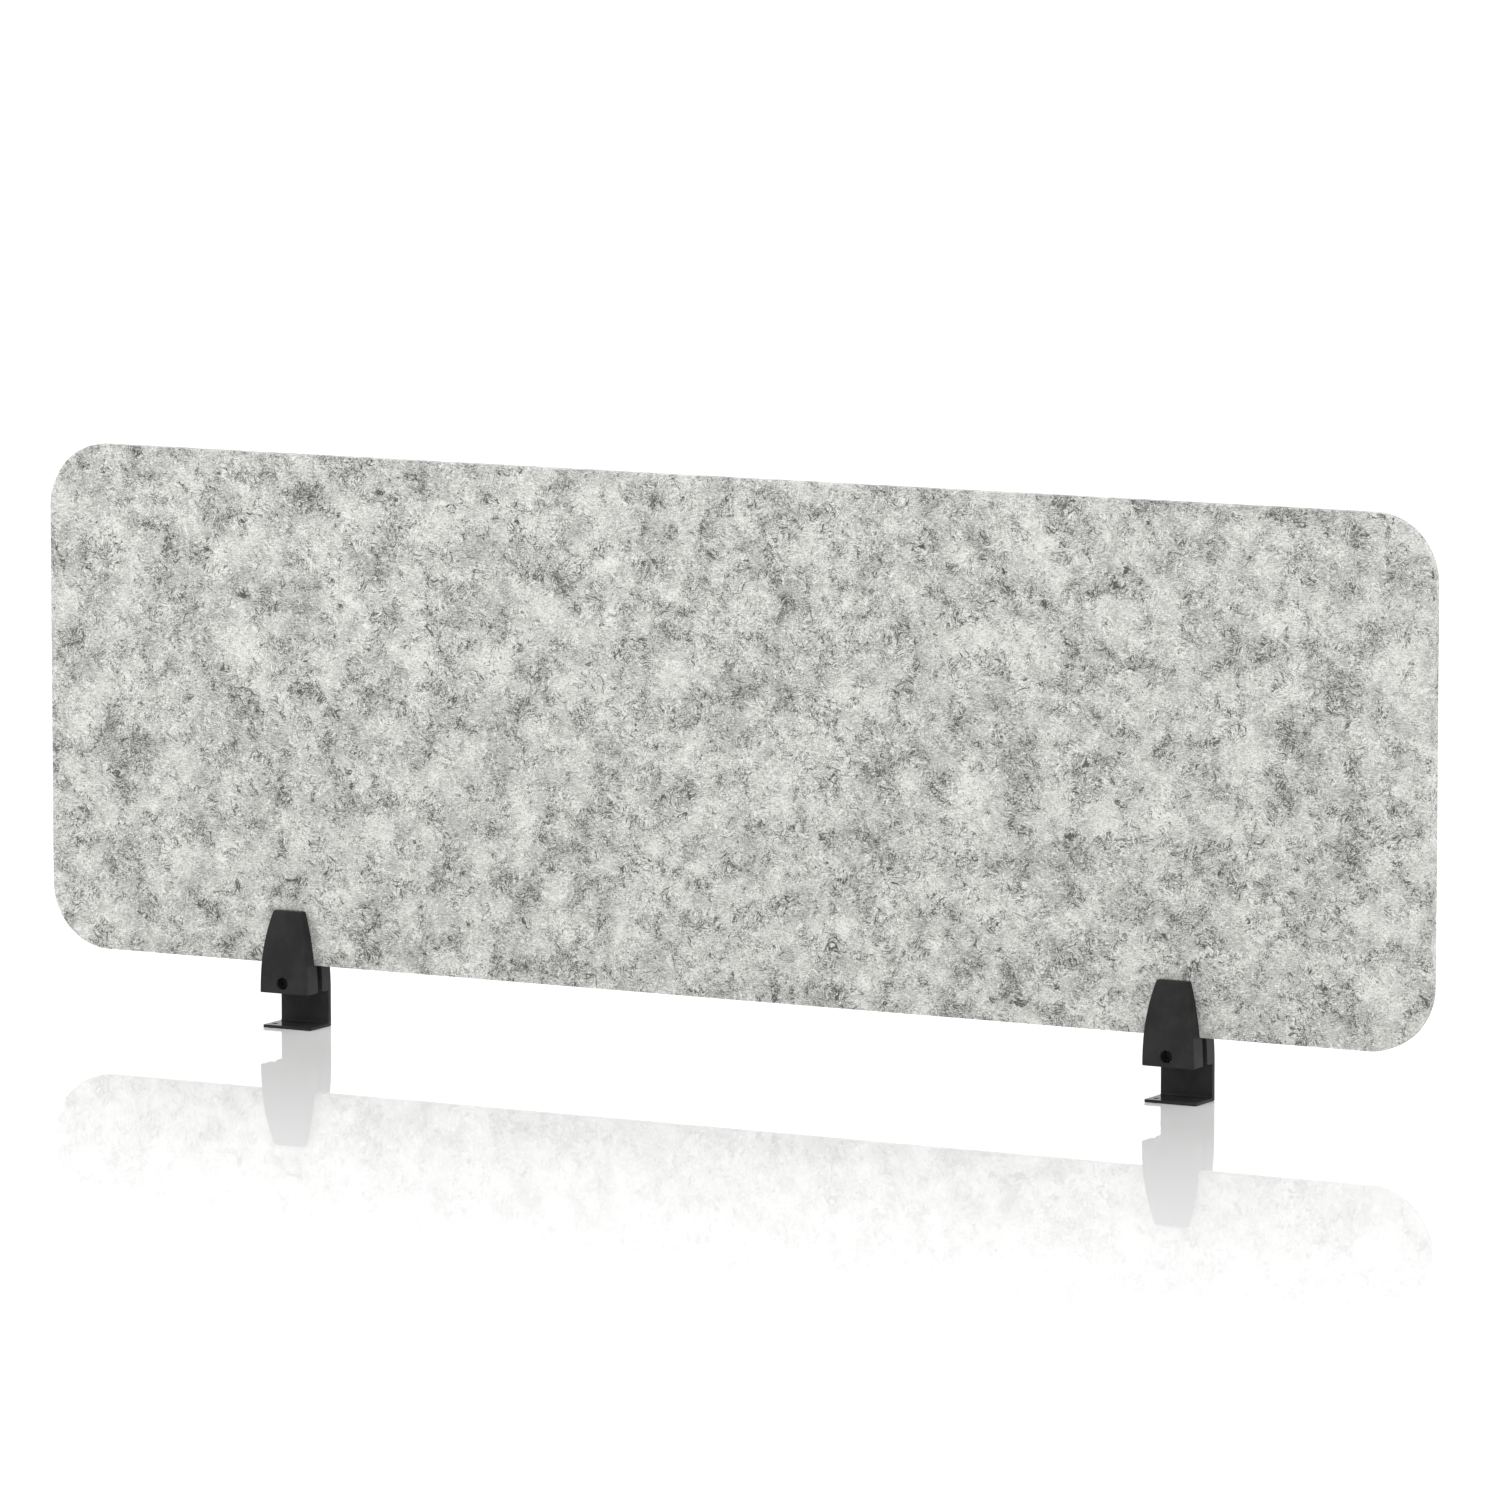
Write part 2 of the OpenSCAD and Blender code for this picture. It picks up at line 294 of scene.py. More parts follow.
def coat_finish(look):
    """Black coat on a casting: dull seen head on, glossy at a glance, with a faint orange peel"""
    material, tree, where = new_material("black_coat")
    peel = tree.noise(where, 420, 2, 0.5).outputs[0]
    speck = tree.noise(where, 3200, 2, 0.6).outputs[0]
    flow = tree.noise(where, 35, 3, 0.6).outputs[0]
    thin = 1.35
    lighter = tuple(min(1.0, thin * c) for c in look.colour)
    colour = tree.mix(tree.step(flow, 0.35, 0.7), opaque(look.colour), opaque(lighter))
    rough = tree.math("MULTIPLY_ADD", flow, 0.08, tree.step(speck, 0.3, 0.7, 0.38, 0.45))
    height = tree.math("MULTIPLY_ADD", speck, 0.12, peel)
    bump = tree.add("Bump", Strength=0.10, Distance=0.07 * MM, Height=height).outputs[0]
    close_material(tree, tree.add(
        "BsdfPrincipled", Base_Color=colour, Roughness=rough, Normal=bump,
        Specular_IOR_Level=0.0, Coat_Weight=0.85, Coat_Roughness=0.11, Coat_IOR=1.12))
    return material


def metal_finish(name, colour, rough, ring_pitch):
    """Turned metal: fine tool rings, light stains and scattered scratches"""
    material, tree, where = new_material(name)
    stain = tree.noise(where, 260, 3, 0.6).outputs[0]
    rings = tree.add("TexWave", {"wave_type": "BANDS", "bands_direction": "Y"}, Vector=where,
                     Scale=1 / ring_pitch / 20, Distortion=0.4, Detail=1.0,
                     Detail_Scale=40.0).outputs[1]
    scratch = tree.noise(tree.add("Mapping", Vector=where, Scale=(1, 14, 1)).outputs[0],
                         900, 2, 0.7).outputs[0]
    stained = 0.86
    darker = tuple(stained * c for c in colour)
    shade = tree.mix(tree.step(stain, 0.35, 0.68), opaque(darker), opaque(colour))
    spread = 0.22
    gloss = tree.math("MULTIPLY_ADD", scratch, spread, rough - spread / 2)
    height = tree.math("MULTIPLY_ADD", scratch, 0.4, rings)
    bump = tree.add("Bump", Strength=0.1, Distance=0.05 * MM, Height=height).outputs[0]
    close_material(tree, tree.add(
        "BsdfPrincipled", Base_Color=shade, Metallic=1.0, Roughness=gloss, Normal=bump))
    return material


def rubber_finish():
    """Moulded black rubber with a faint dusty bloom"""
    material, tree, where = new_material("pad_rubber")
    bloom = tree.noise(where, 120, 3, 0.6).outputs[0]
    pores = tree.noise(where, 2600, 2, 0.6).outputs[0]
    bare, dusty = opaque((0.014, 0.014, 0.014)), opaque((0.022, 0.022, 0.021))
    colour = tree.mix(tree.step(bloom, 0.4, 0.75), bare, dusty)
    bump = tree.add("Bump", Strength=0.3, Distance=0.06 * MM, Height=pores).outputs[0]
    rough = tree.step(pores, 0.3, 0.7, 0.62, 0.8)
    close_material(tree, tree.add(
        "BsdfPrincipled", Base_Color=colour, Roughness=rough, Normal=bump,
        Specular_IOR_Level=0.3))
    return material


# Shapes

def new_piece(name, bm):
    """An object from a mesh under construction"""
    bmesh.ops.recalc_face_normals(bm, faces=bm.faces)
    mesh = bpy.data.meshes.new(name)
    bm.to_mesh(mesh)
    bm.free()
    piece = bpy.data.objects.new(name, mesh)
    bpy.context.scene.collection.objects.link(piece)
    return piece


def combine(piece, added=(), cut=()):
    """Joins solids to a piece, cuts others from it, and removes those solids."""
    steps = [(tool, "UNION") for tool in added] + [(tool, "DIFFERENCE") for tool in cut]
    for tool, operation in steps:
        step = piece.modifiers.new(operation, "BOOLEAN")
        step.operation = operation
        step.solver = "EXACT"
        step.object = tool
    shaped = piece.evaluated_get(bpy.context.evaluated_depsgraph_get())
    mesh = bpy.data.meshes.new_from_object(shaped)
    mesh.name = piece.name
    piece.modifiers.clear()
    piece.data = mesh
    for tool, _ in steps:
        bpy.data.objects.remove(tool)


def dress(piece, material, body, nodes, sharp=38):
    """Shades a piece, gives it its material and ties it to the frame."""
    piece.data.materials.clear()
    piece.data.materials.append(material)
    piece.data.shade_smooth()
    piece.data.set_sharp_from_angle(angle=math.radians(sharp))
    flat = piece.modifiers.new("flat faces", "WEIGHTED_NORMAL")
    flat.keep_sharp = True
    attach(piece, body)
    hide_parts(*nodes)


def turned(bm, rings, place, segments=64, closed=False):
    """Adds a solid turned about the line along Y through place.

    Each ring is (y, radius), where the radius is a number or a function of the angle; a closed
    shape joins its last ring to its first.
    """
    loops = []
    for y, radius in rings:
        if radius == 0:
            loops.append([bm.verts.new((place.x, y, place.z))])
            continue
        loop = []
        for k in range(segments):
            angle = math.tau * k / segments
            r = radius(angle) if callable(radius) else radius
            loop.append(bm.verts.new((place.x + r * math.cos(angle), y,
                                      place.z + r * math.sin(angle))))
        loops.append(loop)
    pairs = list(zip(loops, loops[1:])) + ([(loops[-1], loops[0])] if closed else [])
    for a, b in pairs:
        for k in range(segments):
            m = k + 1
            corners = (a[k % len(a)], a[m % len(a)], b[m % len(b)], b[k % len(b)])
            bm.faces.new(list(dict.fromkeys(corners)))


def turned_tool(rings, place, segments=48):
    """A turned solid as an object, for cutting or joining"""
    bm = bmesh.new()
    turned(bm, rings, place, segments)
    return new_piece("tool", bm)


def stations(length, corner, cell):
    """Places along one side of a plate, with a station at the start of each round corner"""
    half = length / 2
    in_corner = max(3, round(corner / cell))
    between = max(2, round((length - 2 * corner) / cell))
    start = [-half + corner * k / in_corner for k in range(in_corner)]
    middle = [-half + corner + (length - 2 * corner) * k / between for k in range(between + 1)]
    return start + middle + [-x for x in reversed(start)]


def plate_point(x, z, width, height, corner):
    """Moves a point of a rectangular grid so that the grid's corners become round."""
    a = (abs(x) - width / 2 + corner) / corner
    b = (abs(z) - height / 2 + corner) / corner
    if a <= 0 or b <= 0:
        return x, z, (0.0 if b > a else math.copysign(1, x), math.copysign(1, z) if b > a else 0.0)
    over_x = corner * (a * math.sqrt(1 - b * b / 2) - a)
    over_z = corner * (b * math.sqrt(1 - a * a / 2) - b)
    way = Vector((math.copysign(a * math.sqrt(1 - b * b / 2), x),
                  math.copysign(b * math.sqrt(1 - a * a / 2), z))).normalized()
    return x + over_x * math.copysign(1, x), z + over_z * math.copysign(1, z), way


def soft_plate(width, height, depth, corner, arris, cell, rounds=3, walls=3):
    """A plate in X and Z, centred on the origin, with round corners and softened edges"""
    bm = bmesh.new()
    inner = (width - 2 * arris, height - 2 * arris, corner - arris)
    columns = stations(inner[0], inner[2], cell)
    rows = stations(inner[1], inner[2], cell)
    last_column, last_row = len(columns) - 1, len(rows) - 1
    around = ([(i, 0) for i in range(last_column)]
              + [(last_column, j) for j in range(last_row)]
              + [(i, last_row) for i in range(last_column, 0, -1)]
              + [(0, j) for j in range(last_row, 0, -1)])
    loops = {}
    for side in (-1, 1):
        grid = [[bm.verts.new((0, 0, 0)) for _ in rows] for _ in columns]
        for i, x in enumerate(columns):
            for j, z in enumerate(rows):
                px, pz, _ = plate_point(x, z, *inner)
                grid[i][j].co = (px, side * depth / 2, pz)
        for i in range(last_column):
            for j in range(last_row):
                bm.faces.new((grid[i][j], grid[i + 1][j], grid[i + 1][j + 1], grid[i][j + 1]))
        loops[side] = [grid[i][j] for i, j in around]

    edge = [plate_point(columns[i], rows[j], *inner) for i, j in around]
    steps = []
    for k in range(1, rounds + 1):
        angle = math.pi / 2 * k / rounds
        steps.append((arris * math.sin(angle), -depth / 2 + arris * (1 - math.cos(angle))))
    straight = depth - 2 * arris
    steps += [(arris, -straight / 2 + straight * k / walls) for k in range(1, walls)]
    steps += [(out, -y) for out, y in reversed(steps[:rounds])]
    band = [loops[-1]]
    for out, y in steps:
        band.append([bm.verts.new((px + way[0] * out, y, pz + way[1] * out))
                     for px, pz, way in edge])
    band.append(loops[1])
    for a, b in zip(band, band[1:]):
        for k in range(len(a)):
            m = (k + 1) % len(a)
            bm.faces.new((a[k], a[m], b[m], b[k]))
    bmesh.ops.recalc_face_normals(bm, faces=bm.faces)
    return bm


def relief(bm, depth_at):
    """Moves every point inwards by depth_at(place, normal)."""
    bm.normal_update()
    moves = [-v.normal * depth_at(v.co, v.normal) for v in bm.verts]
    for v, move in zip(bm.verts, moves):
        v.co += move


def side_outline(corners, arc_steps=4):
    """The outline of a casting in Y and Z, anticlockwise, ready for rounding its two sides.

    Each corner is (y, z, fillet, rounding), where rounding belongs to the stretch after it.
    Gives for each point its place, its way in to the flat side, and the rounding there.
    """
    points = []
    for i, (y, z, fillet, after) in enumerate(corners):
        before = corners[i - 1][3]
        here = Vector((y, z))
        came = (here - Vector(corners[i - 1][:2])).normalized()
        goes = (Vector(corners[(i + 1) % len(corners)][:2]) - here).normalized()
        in_a, in_b = Vector((-came.y, came.x)), Vector((-goes.y, goes.x))
        turn = came.x * goes.y - came.y * goes.x
        inset = Vector((before * in_b.y - after * in_a.y, after * in_a.x - before * in_b.x)) / turn
        bend = math.atan2(turn, came.dot(goes))
        reach = fillet * math.tan(abs(bend) / 2)
        way = math.copysign(1, turn)
        centre = here - came * reach + in_a * fillet * way
        big = max(before, after)
        clear = reach + big * 1.1 + 0.1 * MM
        if before < big:
            points.append((here - came * clear, in_a * before, before))
        for k in range(arc_steps + 1):
            arm = Matrix.Rotation(bend * k / arc_steps, 2) @ (in_a * -fillet * way)
            points.append((centre + arm, inset, big))
        if after < big:
            points.append((here + goes * clear, in_b * after, after))
    return points


def casting(name, outline, half_width, levels, lean, rounds=4):
    """A solid with a side view, rounded towards both sides, then leant in level by level.

    lean(place) gives how far a point moves in from its side, and how far along Y.
    """
    bm = bmesh.new()
    rings = []
    for side in (-1, 1):
        made = []
        for k in range(rounds + 1):
            angle = math.pi / 2 * k / rounds
            inwards = 1 - math.cos(angle)
            made.append([bm.verts.new((side * (half_width - r * (1 - math.sin(angle))),
                                       p.x + way.x * inwards, p.y + way.y * inwards))
                         for p, way, r in outline])
        rings += made[::-1] if side < 0 else made
    for a, b in zip(rings, rings[1:]):
        for k in range(len(a)):
            m = (k + 1) % len(a)
            bm.faces.new((a[k], a[m], b[m], b[k]))
    bm.faces.new(rings[0])
    bm.faces.new(rings[-1])
    for z in levels:
        bmesh.ops.bisect_plane(bm, geom=bm.verts[:] + bm.edges[:] + bm.faces[:], dist=1e-7,
                               plane_co=(0, 0, z), plane_no=(0, 0, 1))
    for v in bm.verts:
        sideways, along = lean(v.co)
        v.co.x -= math.copysign(sideways, v.co.x)
        v.co.y += along
    return new_piece(name, bm)


def sink(radius, z):
    """Rise of a round curve of that radius at height z above its start"""
    return radius - math.sqrt(radius * radius - z * z) if z > 0 else 0.0


def arc_radius(length, rise):
    return (length * length + rise * rise) / (2 * rise)


def clamp_sizes(side):
    """Places and sizes of one clamp, from the frame"""
    felt_low, felt_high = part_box("felt_panel")
    jaw_low, jaw_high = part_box(f"{side}_front_jaw")
    hook_low, hook_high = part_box(f"{side}_bracket")
    screw_low, screw_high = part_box(f"{side}_clamp_screw")
    pins_low, pins_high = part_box(f"{side}_guide_pins")
    _, washer_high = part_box(f"{side}_washer")
    grip_clear, seat_clear = 0.2 * MM, 0.05 * MM
    top_width = 33 * MM
    lean_depth, lean_start = 8 * MM, 24 * MM
    ledge_depth, plate_thickness, flange_thickness = 4.75 * MM, 5.5 * MM, 3 * MM
    pin_radius = 2.5 * MM
    s = SimpleNamespace()
    s.x = (jaw_low.x + jaw_high.x) / 2
    s.half = (jaw_high.x - jaw_low.x) / 2
    s.front, s.back = jaw_low.y, hook_high.y
    s.base, s.top = jaw_low.z, jaw_high.z
    s.seat = felt_low.z - seat_clear
    s.front_grip = felt_low.y - grip_clear
    s.back_grip = felt_high.y + grip_clear
    s.ledge = s.front_grip + ledge_depth
    s.stop = jaw_high.y
    s.plate = s.back - plate_thickness
    s.flange_front, s.flange_top = hook_low.y, flange_thickness
    s.side_radius = arc_radius(s.top - s.base, s.half - top_width / 2)
    s.lean_radius = arc_radius(s.top - s.base - lean_start, lean_depth)
    s.lean_base = s.base + lean_start
    s.screw = Vector(((screw_low.x + screw_high.x) / 2, 0, (screw_low.z + screw_high.z) / 2))
    s.recess = washer_high.y
    s.pin_reach = (pins_low.y, pins_high.y)
    s.pin_radius = pin_radius
    s.pins = [Vector((x, 0, s.screw.z))
              for x in (pins_low.x + pin_radius, pins_high.x - pin_radius)]
    return s


def jaw_lean(s, leaning_side):
    """How a point of a jaw moves in: both sides curve in, and one face leans"""
    middle = s.front_grip if leaning_side < 0 else s.back_grip
    face = s.front if leaning_side < 0 else s.back

    def lean(place):
        sideways = sink(s.side_radius, place.z - s.base)
        outer = abs(place.y - face) < abs(place.y - middle)
        along = -leaning_side * sink(s.lean_radius, place.z - s.lean_base) if outer else 0.0
        return sideways, along
    return lean


def pocket(node, face, grow):
    """A tool the shape of a pad's pocket; face is the axis and way that the pocket opens to"""
    low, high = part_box(node)
    axis, way = face
    size, middle = high - low, (low + high) / 2
    wide, tall = size.x, (size.z if axis == 1 else size.y)
    corner = PAD_CORNER if axis == 1 else min(PAD_CORNER, PAD_SHARE * min(size.x, size.y))
    bm = soft_plate(wide, tall, size[axis] + grow, corner, 0.02 * MM, 4 * MM, 1, 1)
    if axis == 2:
        bmesh.ops.rotate(bm, verts=bm.verts, matrix=Matrix.Rotation(math.pi / 2, 3, "X"))
    middle[axis] += way * grow / 2
    bmesh.ops.translate(bm, verts=bm.verts, vec=middle)
    return new_piece("tool", bm)


def place_at(piece, x):
    """Moves the mesh of a piece that was built around X = 0."""
    piece.data.transform(Matrix.Translation((x, 0, 0)))


def jaw_levels(s, spacing):
    """Heights at which the curved part of a jaw gets a ring of points"""
    count = math.ceil((s.top - s.base) / spacing)
    return [s.base + (s.top - s.base) * k / count for k in range(1, count)]


def front_jaw(side, look, material):
    """Front jaw: ledge under the board, recess for the screw, round stop, holes and pockets"""
    s = clamp_sizes(side)
    e = look.edge
    outline = side_outline([
        (s.front, s.base, e, e),
        (s.ledge, s.base, e, e),
        (s.ledge, s.seat, e, e),
        (s.front_grip, s.seat, e, e),
        (s.front_grip, s.top, e, look.rim),
        (s.front, s.top, look.rim, look.corner)])
    piece = casting(f"{side}_jaw_casting", outline, s.half, jaw_levels(s, look.level),
                    jaw_lean(s, -1))
    place_at(piece, s.x)
    stop_radius, stop_chamfer = 6.8 * MM, 0.4 * MM
    stop = turned_tool([(s.ledge - BEYOND, 0), (s.ledge - BEYOND, stop_radius),
                        (s.stop - stop_chamfer, stop_radius),
                        (s.stop, stop_radius - stop_chamfer), (s.stop, 0)], s.screw)
    recess, shank, chamfer = 6.2 * MM, 3.3 * MM, 0.35 * MM
    bore = turned_tool([(s.front - BEYOND, 0), (s.front - BEYOND, recess + chamfer + BEYOND),
                        (s.front + chamfer, recess), (s.recess, recess), (s.recess, shank),
                        (s.stop + BEYOND, shank), (s.stop + BEYOND, 0)], s.screw, 96)
    hole, deepest = 2.55 * MM, s.pin_reach[0] - 0.5 * MM
    sockets = [turned_tool([(deepest, 0), (deepest, hole), (s.ledge - chamfer, hole),
                            (s.ledge + BEYOND, hole + chamfer + BEYOND),
                            (s.ledge + BEYOND, 0)], pin) for pin in s.pins]
    pockets = [pocket(f"{side}_front_grip_pad", (1, 1), POCKET_OPENING),
               pocket(f"{side}_jaw_desk_pad", (2, -1), POCKET_OPENING)]
    combine(piece, [stop], [bore, *sockets, *pockets])
    dress(piece, material, f"{side}_jaw", [f"{side}_front_jaw"])


def bracket(side, look, material):
    """Back jaw, plate and flange as one casting"""
    s = clamp_sizes(side)
    e = look.edge
    bevel, heel, step, bend = 2 * MM, 1.2 * MM, 0.8 * MM, 2 * MM
    outline = side_outline([
        (s.flange_front, 0.0, e, e),
        (s.back, 0.0, heel, look.plate_corner),
        (s.back, s.top, look.rim, look.rim),
        (s.back_grip, s.top, e, e),
        (s.back_grip, s.base + bevel, e, e),
        (s.back_grip + bevel, s.base, e, e),
        (s.plate, s.base, step, look.plate_corner),
        (s.plate, s.flange_top, bend, e),
        (s.flange_front, s.flange_top, e, look.plate_corner)])
    piece = casting(f"{side}_bracket_casting", outline, s.half, jaw_levels(s, look.level),
                    jaw_lean(s, 1))
    place_at(piece, s.x)
    insert_low, insert_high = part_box(f"{side}_threaded_insert")
    seat, spare = (insert_high.x - insert_low.x) / 2, 0.5 * MM

    def blind_hole(radius, end, place):
        return turned_tool([(s.back_grip - BEYOND, 0), (s.back_grip - BEYOND, radius),
                            (end, radius), (end, 0)], place)

    bores = [blind_hole(seat, insert_high.y + spare, s.screw)]
    bores += [blind_hole(s.pin_radius, s.pin_reach[1] + spare, pin) for pin in s.pins]
    hole, rim = 2.75 * MM, 0.3 * MM
    from_middle, from_front = 19.5 * MM, 10 * MM
    for way in (-1, 1):
        tool = turned_tool([(-BEYOND, 0), (-BEYOND, hole + rim + BEYOND), (rim, hole),
                            (s.flange_top - rim, hole),
                            (s.flange_top + BEYOND, hole + rim + BEYOND),
                            (s.flange_top + BEYOND, 0)], Vector((0, 0, 0)))
        place = (s.x + way * from_middle, s.flange_front + from_front, 0)
        tool.data.transform(Matrix.Translation(place) @ Matrix.Rotation(math.pi / 2, 4, "X"))
        bores.append(tool)
    pockets = [pocket(f"{side}_back_grip_pad", (1, -1), POCKET_OPENING),
               pocket(f"{side}_bracket_desk_pad", (2, -1), POCKET_OPENING)]
    combine(piece, (), bores + pockets)
    dress(piece, material, f"{side}_clamp", [f"{side}_bracket"])


def socket_screw(side, look, material):
    """Socket-head screw with a fluted head, a hex socket and a cut thread"""
    low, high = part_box(f"{side}_clamp_screw")
    axis = Vector(((low.x + high.x) / 2, 0, (low.z + high.z) / 2))
    head, head_h, shank = (high.x - low.x) / 2, 6 * MM, 3 * MM
    under = low.y + head_h
    root = shank - look.thread_depth

    def fluted(angle):
        return head - 0.16 * MM * abs(math.sin(look.flutes * angle / 2)) ** 0.6

    def thread(y, ease):
        def radius(angle):
            phase = (y / look.pitch + angle / math.tau) % 1
            crest = min(1.0, 1.35 * (1 - abs(2 * phase - 1)))
            return root + (shank - root) * crest * ease
        return radius

    rings = [(low.y, 0), (low.y, head - 0.9 * MM), (low.y + 0.25 * MM, head - 0.45 * MM),
             (low.y + 0.7 * MM, fluted), (under - 0.5 * MM, fluted),
             (under - 0.2 * MM, head - 0.2 * MM), (under, head - 0.4 * MM),
             (under, shank + 0.2 * MM), (under + 0.2 * MM, shank)]
    start, end = under + 3 * MM, high.y - 0.8 * MM
    count = round((end - start) / look.pitch * RINGS_PER_TURN)
    rings.append((start - 0.6 * MM, shank))
    for k in range(count + 1):
        y = start + (end - start) * k / count
        rings.append((y, thread(y, min(1.0, (count - k) / RINGS_PER_TURN))))
    rings += [(high.y, root - 0.4 * MM), (high.y, 0)]
    bm = bmesh.new()
    turned(bm, rings, axis, 160)
    piece = new_piece(f"{side}_socket_screw", bm)
    key = 5.77 / 2 * MM
    socket = turned_tool([(low.y - BEYOND, 0), (low.y - BEYOND, key), (low.y + 3 * MM, key),
                          (low.y + 4 * MM, 0)], axis, 6)
    mouth = turned_tool([(low.y - BEYOND, 0), (low.y - BEYOND, key + 1.2 * MM),
                         (low.y + 0.35 * MM, key - 0.15 * MM), (low.y + 0.35 * MM, 0)], axis, 48)
    combine(piece, (), [socket, mouth])
    dress(piece, material, f"{side}_screw", [f"{side}_clamp_screw"])


def stamped_washer(side, material):
    """Flat washer with a rolled upper rim and a sheared lower one"""
    low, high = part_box(f"{side}_washer")
    axis = Vector(((low.x + high.x) / 2, 0, (low.z + high.z) / 2))
    outer, inner, roll = (high.x - low.x) / 2, 3.3 * MM, 0.35 * MM
    rings = [(high.y, inner), (high.y, outer - 0.05 * MM), (high.y - 0.05 * MM, outer)]
    for k in range(5):
        angle = math.pi / 2 * k / 4
        rings.append((low.y + roll * (1 - math.sin(angle)), outer - roll * (1 - math.cos(angle))))
    rings += [(low.y, inner + roll / 2), (low.y + roll / 2, inner)]
    bm = bmesh.new()
    turned(bm, rings, axis, 96, closed=True)
    dress(new_piece(f"{side}_stamped_washer", bm), material, f"{side}_jaw",
          [f"{side}_washer"])


def knurled_insert(side, look, material):
    """Brass sleeve: straight knurling in two bands outside, a thread inside"""
    low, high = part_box(f"{side}_threaded_insert")
    axis = Vector(((low.x + high.x) / 2, 0, (low.z + high.z) / 2))
    outer, bore, length = (high.x - low.x) / 2, 3.05 * MM, high.y - low.y

    def knurl(angle):
        return outer - 0.18 * MM * abs(math.sin(24 * angle))

    def thread(y):
        def radius(angle):
            phase = (y / look.pitch + angle / math.tau) % 1
            return bore + look.thread_depth * min(1.0, 1.3 * abs(2 * phase - 1))
        return radius

    groove = outer - 0.6 * MM
    rings = [(low.y, outer - 0.4 * MM), (low.y + 0.4 * MM, knurl), (low.y + 0.4 * length, knurl),
             (low.y + 0.44 * length, groove), (low.y + 0.56 * length, groove),
             (low.y + 0.6 * length, knurl), (high.y - 0.4 * MM, knurl), (high.y, outer - 0.4 * MM),
             (high.y, bore + 0.6 * MM)]
    count = round(length / look.pitch * RINGS_PER_TURN)
    for k in range(1, count):
        y = high.y - length * k / count
        rings.append((y, thread(y)))
    rings.append((low.y, bore + 0.6 * MM))
    bm = bmesh.new()
    turned(bm, rings, axis, 144, closed=True)
    dress(new_piece(f"{side}_knurled_insert", bm), material, f"{side}_clamp",
          [f"{side}_threaded_insert"])


def rubber_pad(side, node, body, face, look, material):
    """A moulded pad, ribbed on the face that grips; face is the axis and way that it looks"""
    low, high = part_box(f"{side}_{node}")
    axis, way = face
    size, middle = high - low, (low + high) / 2
    wide, tall = size.x, (size.z if axis == 1 else size.y)
    corner = min(PAD_CORNER, PAD_SHARE * min(wide, tall))
    bm = soft_plate(wide, tall, size[axis], corner, 0.25 * MM, 0.5 * MM, 2, 2)
    looks = way if axis == 1 else -way

    def grooves(place, normal):
        if normal.y * looks < 0.9:
            return 0.0
        along = place.x if axis == 2 else place.z
        wave = 0.5 - 0.5 * math.cos(math.tau * along / look.rib_pitch)
        return look.rib_depth * max(0.0, wave - 0.35) / 0.65

    relief(bm, grooves)
    if axis == 2:
        bmesh.ops.rotate(bm, verts=bm.verts, matrix=Matrix.Rotation(math.pi / 2, 3, "X"))
    bmesh.ops.translate(bm, verts=bm.verts, vec=middle)
    dress(new_piece(f"{side}_{node}_rubber", bm), material, body, [f"{side}_{node}"])


# Operators

class PANEL_OT_felt_board(bpy.types.Operator):
    """Build the felt board with its softened edges and slightly uneven faces"""

    bl_idname = "desk_panel.felt_board"
    bl_label = "Felt board"

    def execute(self, context):
        look = context.scene.felt_look
        low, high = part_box("felt_panel")
        size, middle = high - low, (low + high) / 2
        bm = soft_plate(size.x, size.z, size.y, BOARD_CORNER, look.arris, look.cell)

        def unevenness(place, normal):
            slow = 0.5 + 0.5 * noise.noise(place * 26)
            quick = 0.5 + 0.5 * noise.noise(place * 130 + Vector((3, 1, 2)))
            return look.swell * slow + look.pimple * quick

        relief(bm, unevenness)
        bmesh.ops.translate(bm, verts=bm.verts, vec=middle)
        board = new_piece("felt_board", bm)
        board.data.materials.append(felt_finish(look))
        board.data.shade_smooth()
        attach(board, "board")
        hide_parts("felt_panel")
        return {"FINISHED"}


class PANEL_OT_castings(bpy.types.Operator):
    """Build the bracket and the front jaw of both clamps"""

    bl_idname = "desk_panel.castings"
    bl_label = "Clamp castings"

    def execute(self, context):
        look = context.scene.casting_look
        coat = coat_finish(look)
        for side in SIDES:
            bracket(side, look, coat)
            front_jaw(side, look, coat)
        return {"FINISHED"}


class PANEL_OT_screws(bpy.types.Operator):
    """Build the socket-head screws and their washers"""

    bl_idname = "desk_panel.screws"
    bl_label = "Screws and washers"

    def execute(self, context):
        look = context.scene.hardware_look
        black = metal_finish("blackened_steel", (0.014, 0.014, 0.015), 0.46, 0.25 * MM)
        zinc = metal_finish("zinc_plate", (0.62, 0.62, 0.60), 0.36, 0.3 * MM)
        for side in SIDES:
            socket_screw(side, look, black)
            stamped_washer(side, zinc)
        return {"FINISHED"}


class PANEL_OT_inserts_and_pins(bpy.types.Operator):
    """Build the threaded inserts and finish the guide pins"""

    bl_idname = "desk_panel.inserts_and_pins"
    bl_label = "Inserts and guide pins"

    def execute(self, context):
        look = context.scene.hardware_look
        brass = metal_finish("turned_brass", (0.78, 0.56, 0.25), 0.34, 0.3 * MM)
        ground = metal_finish("ground_steel", (0.60, 0.60, 0.61), 0.24, 0.12 * MM)
        for side in SIDES:
            knurled_insert(side, look, brass)
            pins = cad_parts[f"{side}_guide_pins"]
            pins.data.materials.clear()
            pins.data.materials.append(ground)
        return {"FINISHED"}


